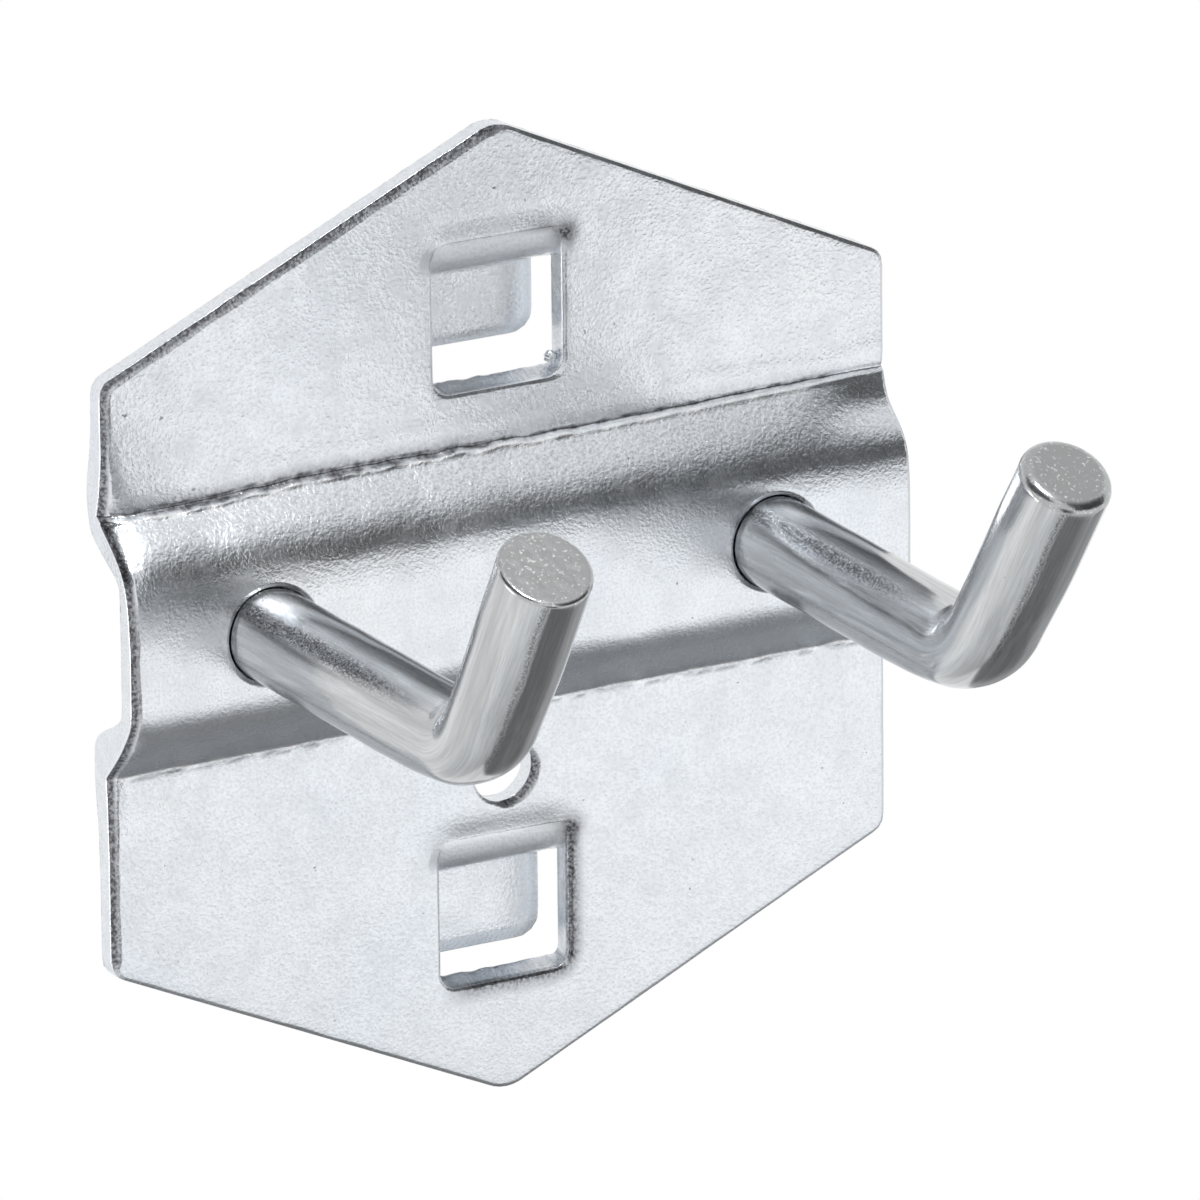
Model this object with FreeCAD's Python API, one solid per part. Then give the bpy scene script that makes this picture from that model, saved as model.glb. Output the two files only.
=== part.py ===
import FreeCAD, Part
import math
import os

# A double hook for a tool panel with square holes. A pressed steel plate lies against the panel
# and holds on to it with two tabs lanced out of the sheet. Two bent round pegs stand out of the
# plate's raised rib and are welded behind it.
# X runs to the right, Y into the panel and Z up. The origin is on the plate's back face, half way
# across and half way up. All lengths are in millimetres and all angles in degrees.

Vector = FreeCAD.Vector
ACROSS = Vector(1, 0, 0)
INWARD = Vector(0, 1, 0)
ON_SURFACE = 1e-4

# Plate
sheet = 1.5
plate_width = 54.0
plate_height = 62.0
side_height = 37.2
side_corner_radius = 1.2
point_radius = 2.6
edge_roll = 0.25

# Rib pressed across the plate
rib_height = 16.8
rib_centre = 2.4
rib_depth = 3.3
flank_angle = 44.0
back_flank_angle = 57.0
crease_radius = 0.4
back_crease_radius = 1.2
rib_edge_radius = 1.6
back_rib_edge_radius = 1.0

# Windows, and the tabs bent out of them
panel_pitch = 38.0
window_width = 9.0
window_height = 9.4
window_corner_radius = 1.0
panel_gap = 2.15
tab_root_radius = 0.8
tab_knee_radius = 0.8
upper_tab_end_gap = 1.9
lower_tab_end_gap = 1.0
tab_corner_radius = 1.0

# Fixing hole on the centre line, half way between the rib and the lower window
fixing_hole_diameter = 4.1
fixing_hole_roll = 0.3

# Pegs
rod_diameter = 5.8
peg_inset = 9.6
peg_hole_clearance = 0.15
peg_reach = 25.8
upturn_length = 15.9
upturn_angle = 60.0
bend_radius = 5.0
left_tip_rounding = 0.3
right_tip_rounding = 0.7
tail_setback = 1.0
tail_chamfer = 0.3
weld_leg = 0.7

# Levels that several pieces share
front = -sheet
rib_front = front - rib_depth
rib_back = -rib_depth
rod_radius = rod_diameter / 2
peg_hole_radius = rod_radius + peg_hole_clearance
peg_x = plate_width / 2 - peg_inset
flank_rise = rib_depth / math.tan(math.radians(flank_angle))
back_flank_rise = rib_depth / math.tan(math.radians(back_flank_angle))
mitre = sheet * math.tan(math.radians(flank_angle) / 2)
hollow_half_height = rib_height / 2 - flank_rise - mitre


def rounded_wire(corners):
    """Closed wire through corners, each a point and the radius of its tangent arc."""
    edges = []
    count = len(corners)
    ends = []
    for index, (point, radius) in enumerate(corners):
        before = (corners[index - 1][0] - point).normalize()
        after = (corners[(index + 1) % count][0] - point).normalize()
        if radius == 0:
            ends.append((point, point))
            continue
        half = before.getAngle(after) / 2
        setback = radius / math.tan(half)
        bisector = (before + after).normalize()
        start = point + before * setback
        middle = point + bisector * (radius / math.sin(half) - radius)
        finish = point + after * setback
        edges.append(Part.Arc(start, middle, finish).toShape())
        ends.append((start, finish))
    for index in range(count):
        here = ends[index][1]
        there = ends[(index + 1) % count][0]
        if here.distanceToPoint(there) > ON_SURFACE:
            edges.append(Part.LineSegment(here, there).toShape())
    return Part.Wire(Part.__sortEdges__(edges))


def slab(wire, low, high):
    """Solid between y = low and y = high with an outline drawn at y = 0."""
    face = Part.Face(wire)
    face.translate(INWARD * low)
    return face.extrude(INWARD * (high - low))


def bar_across(wire, width):
    """Solid of the given width, centred on x = 0, with a section drawn at x = 0."""
    face = Part.Face(wire)
    face.translate(ACROSS * (-width / 2))
    return face.extrude(ACROSS * width)


def roll_front(solid, outline, radius):
    """Rounds the front edges of solid that follow an outline drawn at y = 0."""
    probe = INWARD * (radius / 2)
    rim = []
    for edge in solid.Edges:
        middle = edge.valueAt((edge.FirstParameter + edge.LastParameter) / 2)
        flat_point = Part.Vertex(middle.x, 0, middle.z)
        if flat_point.distToShape(outline)[0] > ON_SURFACE:
            continue
        covered = solid.isInside(middle + probe, ON_SURFACE, True)
        open_ahead = not solid.isInside(middle - probe, ON_SURFACE, True)
        if covered and open_ahead:
            rim.append(edge)
    return solid.makeFillet(radius, rim)


def plate_outline():
    """Hexagon with upright sides and a point at the top and at the bottom."""
    side = plate_width / 2
    shoulder = side_height / 2
    point = plate_height / 2
    return rounded_wire([
        (Vector(side, 0, -shoulder), side_corner_radius),
        (Vector(side, 0, shoulder), side_corner_radius),
        (Vector(0, 0, point), point_radius),
        (Vector(-side, 0, shoulder), side_corner_radius),
        (Vector(-side, 0, -shoulder), side_corner_radius),
        (Vector(0, 0, -point), point_radius),
    ])


def rib_section():
    """Section of the sheet. The back of each flank is steeper, so that a flank is thick at its foot."""
    end = plate_height
    top = rib_centre + rib_height / 2
    bottom = rib_centre - rib_height / 2
    face_top = top - flank_rise
    face_bottom = bottom + flank_rise
    back_top = rib_centre + hollow_half_height
    back_bottom = rib_centre - hollow_half_height
    return rounded_wire([
        (Vector(0, front, end), 0),
        (Vector(0, front, top), crease_radius),
        (Vector(0, rib_front, face_top), rib_edge_radius),
        (Vector(0, rib_front, face_bottom), rib_edge_radius),
        (Vector(0, front, bottom), crease_radius),
        (Vector(0, front, -end), 0),
        (Vector(0, 0, -end), 0),
        (Vector(0, 0, back_bottom - back_flank_rise), back_crease_radius),
        (Vector(0, rib_back, back_bottom), back_rib_edge_radius),
        (Vector(0, rib_back, back_top), back_rib_edge_radius),
        (Vector(0, 0, back_top + back_flank_rise), back_crease_radius),
        (Vector(0, 0, end), 0),
    ])


def window_outline(centre):
    """Square window with rounded corners, its middle at the given height."""
    side = window_width / 2
    low = centre - window_height / 2
    high = centre + window_height / 2
    corners = [(side, low), (side, high), (-side, high), (-side, low)]
    return rounded_wire([(Vector(x, 0, z), window_corner_radius) for x, z in corners])


def tab(centre, end_gap):
    """Tab that leaves the window's top edge, turns back and then down behind the panel."""
    window_top = centre + window_height / 2
    start = window_top + edge_roll
    end = centre - window_height / 2 + end_gap
    under = window_top - sheet - tab_root_radius
    over = under + sheet
    tab_back = panel_gap + sheet
    section = rounded_wire([
        (Vector(0, front, start), 0),
        (Vector(0, front, under), sheet + tab_root_radius),
        (Vector(0, panel_gap, under), tab_knee_radius),
        (Vector(0, panel_gap, end), 0),
        (Vector(0, tab_back, end), 0),
        (Vector(0, tab_back, over), sheet + tab_knee_radius),
        (Vector(0, 0, over), tab_root_radius),
        (Vector(0, 0, start), 0),
    ])
    side = window_width / 2
    blank = rounded_wire([
        (Vector(side, 0, end), tab_corner_radius),
        (Vector(side, 0, start), 0),
        (Vector(-side, 0, start), 0),
        (Vector(-side, 0, end), tab_corner_radius),
    ])
    return bar_across(section, window_width).common(slab(blank, front, tab_back))


def round_hole(x, z, radius):
    """Outline of a round hole."""
    return Part.Wire(Part.makeCircle(radius, Vector(x, 0, z), INWARD))


def back_plate():
    """The whole pressed sheet, with its rib, windows, tabs and holes."""
    outline = plate_outline()
    body = bar_across(rib_section(), plate_width).common(slab(outline, rib_front, 0))
    body = roll_front(body, outline, edge_roll)
    half_pitch = panel_pitch / 2
    for centre in (half_pitch, -half_pitch):
        window = window_outline(centre)
        body = body.cut(slab(window, rib_front, 0))
        body = roll_front(body, window, edge_roll)
    rib_foot = rib_centre - rib_height / 2
    lower_window_top = window_height / 2 - half_pitch
    fixing_hole = round_hole(0, (rib_foot + lower_window_top) / 2, fixing_hole_diameter / 2)
    body = body.cut(slab(fixing_hole, rib_front, 0))
    body = roll_front(body, fixing_hole, fixing_hole_roll)
    for x in (-peg_x, peg_x):
        body = body.cut(slab(round_hole(x, rib_centre, peg_hole_radius), rib_front, 0))
    body = body.fuse(tab(half_pitch, upper_tab_end_gap))
    body = body.fuse(tab(-half_pitch, lower_tab_end_gap))
    return body.removeSplitter()


def peg(x, tip_rounding):
    """Round bar through the rib, straight out, round an elbow and up to a cut end."""
    lean = math.radians(upturn_angle)
    upward = Vector(0, -math.cos(lean), math.sin(lean))
    tail = Vector(x, -tail_setback, rib_centre)
    kink = Vector(x, rib_front - peg_reach, rib_centre)
    tip = kink + upward * upturn_length
    setback = bend_radius * math.tan(lean / 2)
    bend_start = kink + INWARD * setback
    bend_end = kink + upward * setback
    towards_centre = (INWARD + upward).normalize()
    bend_middle = kink + towards_centre * (bend_radius / math.cos(lean / 2) - bend_radius)
    path = Part.Wire([
        Part.LineSegment(tail, bend_start).toShape(),
        Part.Arc(bend_start, bend_middle, bend_end).toShape(),
        Part.LineSegment(bend_end, tip).toShape(),
    ])
    section = Part.Wire(Part.makeCircle(rod_radius, tail, INWARD))
    bar = path.makePipeShell([section], True, True)
    bar = round_end(bar, tip, tip_rounding)
    return chamfer_end(bar, tail, tail_chamfer)


def rims_near(solid, centre):
    """Circular edges of solid round the given centre."""
    return [edge for edge in solid.Edges
            if edge.Closed and edge.CenterOfMass.distanceToPoint(centre) < ON_SURFACE]


def round_end(bar, centre, radius):
    """Rounds the rim of the bar's end at centre."""
    return bar.makeFillet(radius, rims_near(bar, centre))


def chamfer_end(bar, centre, size):
    """Chamfers the rim of the bar's end at centre."""
    return bar.makeChamfer(size, rims_near(bar, centre))


def weld_bead(x):
    """Fillet weld round a peg's tail, in the corner between the bar and the back of the rib."""
    corner = Vector(x + rod_radius, rib_back, rib_centre)
    on_plate = corner + ACROSS * weld_leg
    on_rod = corner + INWARD * weld_leg
    section = Part.makePolygon([corner, on_plate, on_rod, corner])
    return Part.Face(section).revolve(Vector(x, 0, rib_centre), INWARD, 360)


def export(shape, node):
    """Writes one piece to its own file."""
    shape.exportStep(f"parts/{node}.step")
    print(f"{node}: {len(shape.Solids)} solid, {shape.Volume:.1f} mm3, valid {shape.isValid()}")


os.makedirs("parts", exist_ok=True)
export(back_plate(), "back_plate")
export(peg(-peg_x, left_tip_rounding), "left_peg")
export(peg(peg_x, right_tip_rounding), "right_peg")
export(weld_bead(-peg_x), "left_weld_bead")
export(weld_bead(peg_x), "right_weld_bead")
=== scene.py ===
# %% [markdown]
# # A double hook for a tool panel
# The real object is a pressed steel plate, bright zinc plated, that hangs in the square holes of a
# panel and carries two bent round pegs. The frame holds its plain solids. This script builds the
# same pieces again as fine surfaces, with the marks that the press, the bending and the plating
# leave. Shapes are worked out in millimetres, with x to the right, y into the panel and z up, and
# turned into metres when a mesh is made.

# %% Frame and tools
import math
import bpy
import numpy as np
from mathutils import Matrix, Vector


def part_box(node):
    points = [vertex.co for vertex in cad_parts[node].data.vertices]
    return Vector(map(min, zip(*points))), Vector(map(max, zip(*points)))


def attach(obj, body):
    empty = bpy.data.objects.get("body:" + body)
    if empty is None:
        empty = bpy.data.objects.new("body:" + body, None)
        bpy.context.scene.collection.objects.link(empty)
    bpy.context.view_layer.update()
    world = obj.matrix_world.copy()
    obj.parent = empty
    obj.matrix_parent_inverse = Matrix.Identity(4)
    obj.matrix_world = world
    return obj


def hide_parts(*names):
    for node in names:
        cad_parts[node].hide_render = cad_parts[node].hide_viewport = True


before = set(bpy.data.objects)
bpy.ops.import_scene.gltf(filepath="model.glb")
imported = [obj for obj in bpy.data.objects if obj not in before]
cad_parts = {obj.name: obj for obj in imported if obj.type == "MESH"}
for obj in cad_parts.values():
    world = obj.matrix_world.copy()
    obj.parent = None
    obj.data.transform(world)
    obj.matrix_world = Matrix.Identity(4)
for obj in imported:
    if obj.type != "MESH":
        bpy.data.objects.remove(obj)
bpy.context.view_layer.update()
mm = 0.001

plate_low, plate_high = (np.array(corner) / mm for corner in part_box("back_plate"))
print("plate from", plate_low.round(2), "to", plate_high.round(2))

# %% [markdown]
# ## Sizes
# A fine surface has to land where its solid is, because the mounts and the checks belong to the
# solids. They could be measured on the solids' meshes, but a box gives no radius or angle, so the
# drawing's own sizes are written here once, and everything below is worked out from them.

# %% Sizes of the plate
sheet = 1.5
plate_width = plate_high[0] - plate_low[0]
plate_height = 62.0
side_height = 37.2
side_corner = 1.2
point_corner = 2.6
front = -sheet
window_width, window_height = 9.0, 9.4
window_centres = (19.0, -19.0)
window_corner = 1.15
torn_corner = 0.35
fixing_hole_z, fixing_hole_radius = -10.15, 2.05
print("sheet", sheet, "mm, windows", window_width, "by", window_height, "mm")

# %% Sizes of the rib and the pegs
rib_centre, rib_height, rib_depth = 2.4, 16.8, 3.3
rib_front = front - rib_depth
crease_top, crease_bottom = rib_centre + rib_height / 2, rib_centre - rib_height / 2
flank_angle = math.radians(44.0)
flank_slope = math.tan(flank_angle)
back_slope = math.tan(math.radians(57.0))
peg_x = 17.4
rod_radius = 2.9
peg_hole_radius = 2.97
print("rib from", crease_bottom, "to", crease_top, "and", rib_depth, "mm deep")

# %% [markdown]
# ## Tools for surfaces
# A pressed sheet is flats joined by soft bends, with dents on top. Modelled by hand, each bend would
# need its own loops and bevels. Here every form is a formula over a grid: ramps with a rounded start
# for bends, steps that fade a mark in, bells for dents and lines, and sums of waves for what is
# uneven. They add up freely, and one number moves a whole bend.

# %% Ramps, steps and bells
def ramp(u, width):
    """Ramp that is 0 below and u above, with a parabola of half-width `width` in between."""
    return np.where(u > width, u, np.where(u < -width, 0.0, (u + width) ** 2 / (4 * width)))


def smooth(u):
    """Step from 0 to 1 for u from 0 to 1, level at both ends: u squared times (3 - 2u)."""
    u = np.clip(u, 0.0, 1.0)
    return u * u * (3 - 2 * u)


def bump(u):
    """Bell of height 1 and width about 1: e to the power of minus u squared."""
    return np.exp(-u * u)


print("half way up a step:", smooth(0.5), "and one width beside a bell:", round(bump(1.0), 3))

# %% Uneven surfaces
def waves(x, z, size, seed, count=28):
    """Uneven surface of about unit height: a sum of cosines of random direction, length near `size`."""
    dice = np.random.default_rng(seed)
    headings = dice.uniform(0, 2 * math.pi, count)
    rates = 2 * math.pi / (size * dice.uniform(0.6, 1.7, count))
    phases = dice.uniform(0, 2 * math.pi, count)
    total = np.zeros(np.broadcast(x, z).shape)
    for heading, rate, phase in zip(headings, rates, phases):
        total += np.cos(rate * (x * math.cos(heading) + z * math.sin(heading)) + phase)
    return total / math.sqrt(count / 2)


def wander(x, size, seed):
    """The same along x alone, for a line that strays."""
    return waves(x, 0 * x, size, seed)


print("spread of the waves:", round(float(waves(np.linspace(0, 99, 500), 0.0, 2.0, 1).std()), 2))

# %% Faces of a grid
def open_grid(shape):
    """Quads of a grid with this many rows and columns of points."""
    index = np.arange(shape[0] * shape[1]).reshape(shape)
    return np.stack([index[:-1, :-1], index[:-1, 1:], index[1:, 1:], index[1:, :-1]], -1).reshape(-1, 4)


def closed_grid(shape):
    """Quads of a grid that closes across, and triangles from its end rows to two points after it."""
    index = np.arange(shape[0] * shape[1]).reshape(shape)
    after = np.roll(index, -1, 1)
    quads = np.stack([index[:-1], after[:-1], after[1:], index[1:]], -1).reshape(-1, 4)
    start_pole, end_pole = (np.full(shape[1], index.size + k) for k in range(2))
    start_fan = np.stack([after[0], index[0], start_pole], 1)
    end_fan = np.stack([index[-1], after[-1], end_pole], 1)
    return quads, np.concatenate([start_fan, end_fan])


def graded(low, high, step, fine):
    """Grid lines from low to high, about step apart and closer near each (place, width, share)."""
    where = np.linspace(low, high, 4000)
    density = np.ones_like(where) / step
    for place, width, share in fine:
        density += bump((where - place) / width) * (1 / (step * share) - 1 / step)
    total = np.concatenate([[0], np.cumsum((density[1:] + density[:-1]) / 2 * np.diff(where))])
    return np.interp(np.linspace(0, total[-1], int(round(total[-1])) + 1), total, where)


print("a grid of 3 by 4 points has", len(open_grid((3, 4))), "quads")

# %% From arrays to a mesh
no_triangles = np.zeros((0, 3), int)


def add_mesh(name, points, quads, triangles, marks, sharp_angle=40):
    """Object with these points (mm), faces turned outward, and the marks as point attributes."""
    corners = np.concatenate([quads.ravel(), triangles.ravel()]).astype(np.int32)
    quad_starts = np.arange(len(quads)) * 4
    triangle_starts = len(quads) * 4 + np.arange(len(triangles)) * 3
    starts = np.concatenate([quad_starts, triangle_starts]).astype(np.int32)
    halves = np.concatenate([quads[:, [0, 1, 2]], quads[:, [0, 2, 3]], triangles.reshape(-1, 3)])
    first, second, third = (points[halves[:, k]] for k in range(3))
    volume = np.einsum("ij,ij->i", first, np.cross(second, third)).sum() / 6
    mesh = bpy.data.meshes.new(name)
    mesh.vertices.add(len(points))
    mesh.loops.add(len(corners))
    mesh.polygons.add(len(starts))
    mesh.vertices.foreach_set("co", (points * mm).astype(np.float32).ravel())
    mesh.loops.foreach_set("vertex_index", corners)
    mesh.polygons.foreach_set("loop_start", starts)
    mesh.update(calc_edges=True)
    if volume < 0:
        mesh.flip_normals()
    mesh.shade_smooth()
    mesh.set_sharp_from_angle(angle=math.radians(sharp_angle))
    for mark, values in marks.items():
        kind, field = ("FLOAT_VECTOR", "vector") if values.ndim == 2 else ("FLOAT", "value")
        layer = mesh.attributes.new(mark, kind, "POINT")
        layer.data.foreach_set(field, values.astype(np.float32).ravel())
    piece = bpy.data.objects.new(name, mesh)
    bpy.context.scene.collection.objects.link(piece)
    print(f"{name}: {len(halves)} triangles, volume {abs(volume):.1f} mm3")
    return piece


# %% [markdown]
# ## The outline of the plate
# The plate is a long hexagon with rounded corners, two square windows, a fixing hole and two holes
# for the pegs. Booleans would cut it, but they leave long thin faces that shade badly near the
# holes. The outline is a distance instead: how far a point lies outside the sheet. It tells which
# grid cells to keep, and its slope tells which way an edge faces.

# %% Distance to a rounded rectangle and to the hexagon
def rounded_box(x, z, half_x, half_z, radius):
    """Distance outside a rounded rectangle round the origin, negative inside."""
    across = np.abs(x) - half_x + radius
    along = np.abs(z) - half_z + radius
    outside = np.hypot(np.maximum(across, 0), np.maximum(along, 0))
    return outside + np.minimum(np.maximum(across, along), 0) - radius


def beside_window(x, z, centre, radius):
    """Distance outside the window whose middle is at height centre."""
    return rounded_box(x, z - centre, window_width / 2, window_height / 2, radius)


def hexagon(x, z):
    """Distance outside the plate's hexagon, negative inside, its corners rounded as arcs."""
    side, shoulder, point = plate_width / 2, side_height / 2, plate_height / 2
    x, z = np.abs(x), np.abs(z)
    slope = np.array([point - shoulder, side])
    slope = slope / np.linalg.norm(slope)
    to_side = x - side
    to_slope = x * slope[0] + (z - point) * slope[1]
    distance = np.maximum(to_side, to_slope)
    centre_z = point - point_corner / slope[1]
    near_point = x * slope[1] < (z - centre_z) * slope[0]
    distance = np.where(near_point, np.hypot(x, z - centre_z) - point_corner, distance)
    half_turn = math.atan2(slope[1], slope[0]) / 2
    from_x = x - (side - side_corner)
    from_z = z - (shoulder - side_corner * math.tan(half_turn))
    near_corner = (from_z > 0) & (from_x * slope[1] > from_z * slope[0])
    return np.where(near_corner, np.hypot(from_x, from_z) - side_corner, distance)


print("from the middle to the hexagon's edge:", round(float(-hexagon(0.0, 0.0)), 2), "mm")

# %% Distance to the sheet, and the way its edge faces
def plate_distance(x, z):
    """Distance outside the sheet: the hexagon less its windows and holes.

    A window's upper right corner is sharper than the rest, where the tab tore out of it."""
    distance = hexagon(x, z)
    for centre in window_centres:
        corner = np.where((x > 0) & (z > centre), torn_corner, window_corner)
        distance = np.maximum(distance, -beside_window(x, z, centre, corner))
    holes = ((0.0, fixing_hole_z, fixing_hole_radius),
             (-peg_x, rib_centre, peg_hole_radius), (peg_x, rib_centre, peg_hole_radius))
    for hole_x, hole_z, radius in holes:
        distance = np.maximum(distance, radius - np.hypot(x - hole_x, z - hole_z))
    return distance


def outward(distance, x, z):
    """Direction in which a distance grows, as unit vectors."""
    step = 1e-4
    slope_x = distance(x + step, z) - distance(x - step, z)
    slope_z = distance(x, z + step) - distance(x, z - step)
    length = np.maximum(np.hypot(slope_x, slope_z), 1e-12)
    return slope_x / length, slope_z / length


nearest = round(float(-plate_distance(0.0, -5.0)), 2)
print("5 mm under the middle, the sheet's nearest edge is", nearest, "mm away")

# %% [markdown]
# ## The relief of the sheet
# A punch drew the rib across the sheet. Its upper crease runs askew and ragged, with a lip where the
# steel was dragged, and both ends of the rib curled back. A sculpted or displaced mesh could show
# that, but a picture of it would be needed. The relief is worked out instead, as the depth y of the
# front and of the back at every place of the sheet.

# %% How the creases stray
def crease_askew(x):
    """How far the rib's upper front crease lies from its place: low on the left, high on the right."""
    return -0.5 * smooth((-x - 8) / 19) + 0.4 * smooth((x - 2) / 24)


def crease_ragged(x):
    """Small strays of the upper crease, as the punch dragged the sheet, fewer on the right."""
    strays = 0.035 * wander(x, 2.6, 11) + 0.02 * wander(x, 1.0, 12)
    return strays * (1 - 0.65 * smooth((x - 1) / 9))


def over_crease(x, z):
    """Height above the upper crease as it really runs."""
    return z - crease_top - crease_askew(x) - crease_ragged(x)


def foot_ragged(x):
    """Small strays of the lower crease."""
    return 0.04 * wander(x, 1.4, 23)


askew_reach = 1.8
ends = np.array([plate_low[0], plate_high[0]])
print("upper crease off its place at the left and right end:", crease_askew(ends).round(2), "mm")

# %% Curled ends, and the dip over a tab
def left_curl(x, z, onset):
    """How far the press pushed the sheet's left end back at both creases, from x = -onset outward."""
    share = smooth((-x - onset) / (27.0 - onset)) ** 1.4
    lower = 0.42 * bump((z + 6.0) / 3.0) + 0.55 * bump((z + 3.2) / 1.0)
    return share * (0.72 * bump((z - 11.4) / 2.7) + lower)


def right_curl(x, z):
    """How far the upper flank's right end was pushed back."""
    return 0.90 * smooth((x - 19.5) / 7.5) * bump((z - 9.4) / 1.3)


def front_curl(x, z):
    """How far the front alone is drawn in at the upper flank's left end."""
    return 0.38 * ramp(-x - 25.4, 0.45) * bump((z - 9.4) / 2.0)


def window_dip(x, above):
    """How far the sheet sinks where a tab starts to bend, at a height above the window's top edge."""
    return 0.30 * bump(above / 1.0) * smooth((5.9 - np.abs(x)) / 3.2)


print("right end pushed back by", round(float(right_curl(27.0, 9.4)), 2), "mm")

# %% Flanks of the rib
def upper_flank(x, z):
    """Rise from the upper crease: the flank, a rounded edge, and a gentle slope that ends on the face.

    It is three rounded ramps, whose slopes add up to the flank, then the gentle slope, then none."""
    left, right = smooth((-x - 4) / 20), smooth((x - 12) / 14)
    bent_z = z - crease_askew(x) * bump((z - crease_top) / askew_reach)
    bent_z -= crease_ragged(x) * bump((z - crease_top) / 0.35)
    gentle = 0.14 + 0.06 * left + 0.07 * right
    gentle_start = 6.6
    gentle_end = 4.3 - 1.8 * left - 0.2 * right + 0.25 * wander(x, 8, 20)
    gentle_middle = (gentle_start + gentle_end) / 2
    edge = (flank_slope * crease_top - rib_depth - gentle * gentle_middle) / (flank_slope - gentle)
    edge_width = 1.5 + 0.4 * right + 0.1 * wander(x, 7, 21)
    rise = flank_slope * ramp(crease_top - bent_z, 0.14)
    rise -= (flank_slope - gentle) * ramp(edge - z, edge_width)
    return rise - gentle * ramp(gentle_middle - z, (gentle_start - gentle_end) / 2)


def lower_flank(x, z):
    """What the lower flank takes back of that rise, in two rounded ramps, and a fine ridge at its foot."""
    bent_z = z - foot_ragged(x) * bump((z - crease_bottom) / 0.4)
    edge = crease_bottom + rib_depth / flank_slope
    edge_width = 1.25 + 0.3 * smooth((-x - 4) / 20) + 0.08 * wander(x, 5, 22)
    fall = ramp(crease_bottom - bent_z, 0.10) - ramp(edge - z, edge_width)
    ridge = 0.03 * bump((bent_z - crease_bottom + 0.1) / 0.12)
    return flank_slope * fall + ridge


middle_rise = upper_flank(np.array([0.0]), np.array([rib_centre]))
print("rise in the middle of the rib:", middle_rise.round(2), "mm")

# %% Marks along the crease and on the flats
def crease_marks(x, z):
    """Depth left along the upper crease: a groove in it, a lip and a ledge under it, a swell above."""
    over = over_crease(x, z)
    groove = 0.06 * bump((over - 0.08) / 0.17)
    lip = 0.05 * bump((over + 0.24) / 0.14)
    ledge = 0.08 * smooth((over + 0.44) / 0.22) * (1 - smooth((over + 0.13) / 0.18))
    patches = smooth(0.75 + 0.5 * wander(x, 2.4, 30)) * (0.5 + 0.5 * smooth((4 - x) / 12))
    swell = 0.028 * bump((over - 1.3 - 0.2 * wander(x, 6, 24)) / 0.5)
    return groove - lip - ledge * patches - swell


def unevenness(x, z):
    """Depth of small dents: on the drawn flank, crumpled between the pegs, and faint on all the rest."""
    on_flank = smooth((-over_crease(x, z) - 0.1) / 0.5) * smooth((z - 7.6) / 0.6)
    flank_dents = on_flank * (0.004 * waves(x, z, 1.1, 25) + 0.008 * waves(x, z, 5.0, 26))
    crumple = 0.05 * bump((x + 4.5) / 1.6) * bump((z + 4.4) / 0.9) * waves(x, z, 1.8, 29)
    return flank_dents + crumple + 0.0015 * waves(x, z, 1.6, 27) + 0.012 * waves(x, z, 9.0, 28)


print("groove in the crease:", crease_marks(np.array([-10.0, 10.0]), crease_top).round(3), "mm")

# %% Front and back of the sheet
def front_relief(x, z):
    """Depth of the front: the flat sheet less the rise of the rib, plus marks, curls and dips."""
    y = front - upper_flank(x, z) - lower_flank(x, z) + crease_marks(x, z) + unevenness(x, z)
    y += front_curl(x, z) + 0.34 * left_curl(x, z, 25.7) + right_curl(x, z)
    for centre in window_centres:
        y += window_dip(x, z - centre - window_height / 2)
    return y


def back_relief(x, z):
    """Depth of the back: a hollow behind the rib made of four rounded ramps, and the curled ends."""
    foot_width, edge_width = 0.65, 0.55
    half_hollow = rib_height / 2 - rib_depth / flank_slope - sheet * math.tan(flank_angle / 2)
    rise = rib_depth / back_slope
    top, bottom = rib_centre + half_hollow, rib_centre - half_hollow
    height = ramp(top + rise - z, foot_width) - ramp(top - z, edge_width)
    height += ramp(bottom - rise - z, foot_width) - ramp(bottom - z, edge_width)
    return -back_slope * height + left_curl(x, z, 24.4) + right_curl(x, z)


print("hollow behind the rib:", back_relief(np.array([0.0]), np.array([rib_centre])).round(2), "mm")

# %% [markdown]
# ## A sheet with an outline
# A punched edge is drawn in and rounded on the side of the punch, then sheared clean, then torn
# towards the back. A bevel gives every edge the same round, so the rim is built ring by ring: the
# grid stops a little inside the outline, and rings run from there over the rounding, down the cut
# edge and on to the back. Each point also keeps how far over the edge it lies, for the finish.

# %% The part of a grid inside an outline
def cells_inside(x, z, distance, margin):
    """Cells whose middle is inside the outline less a margin, and only the points that they use."""
    cells = open_grid(x.shape)
    x, z = x.ravel(), z.ravel()
    cells = cells[distance(x[cells].mean(1), z[cells].mean(1)) < -margin]
    used, cells = np.unique(cells, return_inverse=True)
    return x[used], z[used], cells.reshape(-1, 4)


def open_edges(cells, count):
    """Points of the rim, and its edges as pairs of places in that list: edges that one cell has."""
    edges = np.concatenate([cells[:, [k, (k + 1) % 4]] for k in range(4)])
    ends = np.sort(edges, 1)
    keys = ends[:, 0] * count + ends[:, 1]
    _, place, times = np.unique(keys, return_inverse=True, return_counts=True)
    rim, rim_edges = np.unique(edges[times[place.ravel()] == 1], return_inverse=True)
    return rim, rim_edges.reshape(-1, 2)


print("a block of 2 by 3 cells has", len(open_edges(open_grid((3, 4)), 12)[1]), "open edges")

# %% Rings over the rim
edge_on_wall = 2.0
cut_corner = 0.07
rim_profile = [(share, 0.0) for share in (0.0, 0.12, 0.25, 0.4, 0.6, 0.8, 1.0)]
rim_profile += [(1.0, turn) for turn in np.radians([25.0, 45.0, 65.0, 90.0])]


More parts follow.
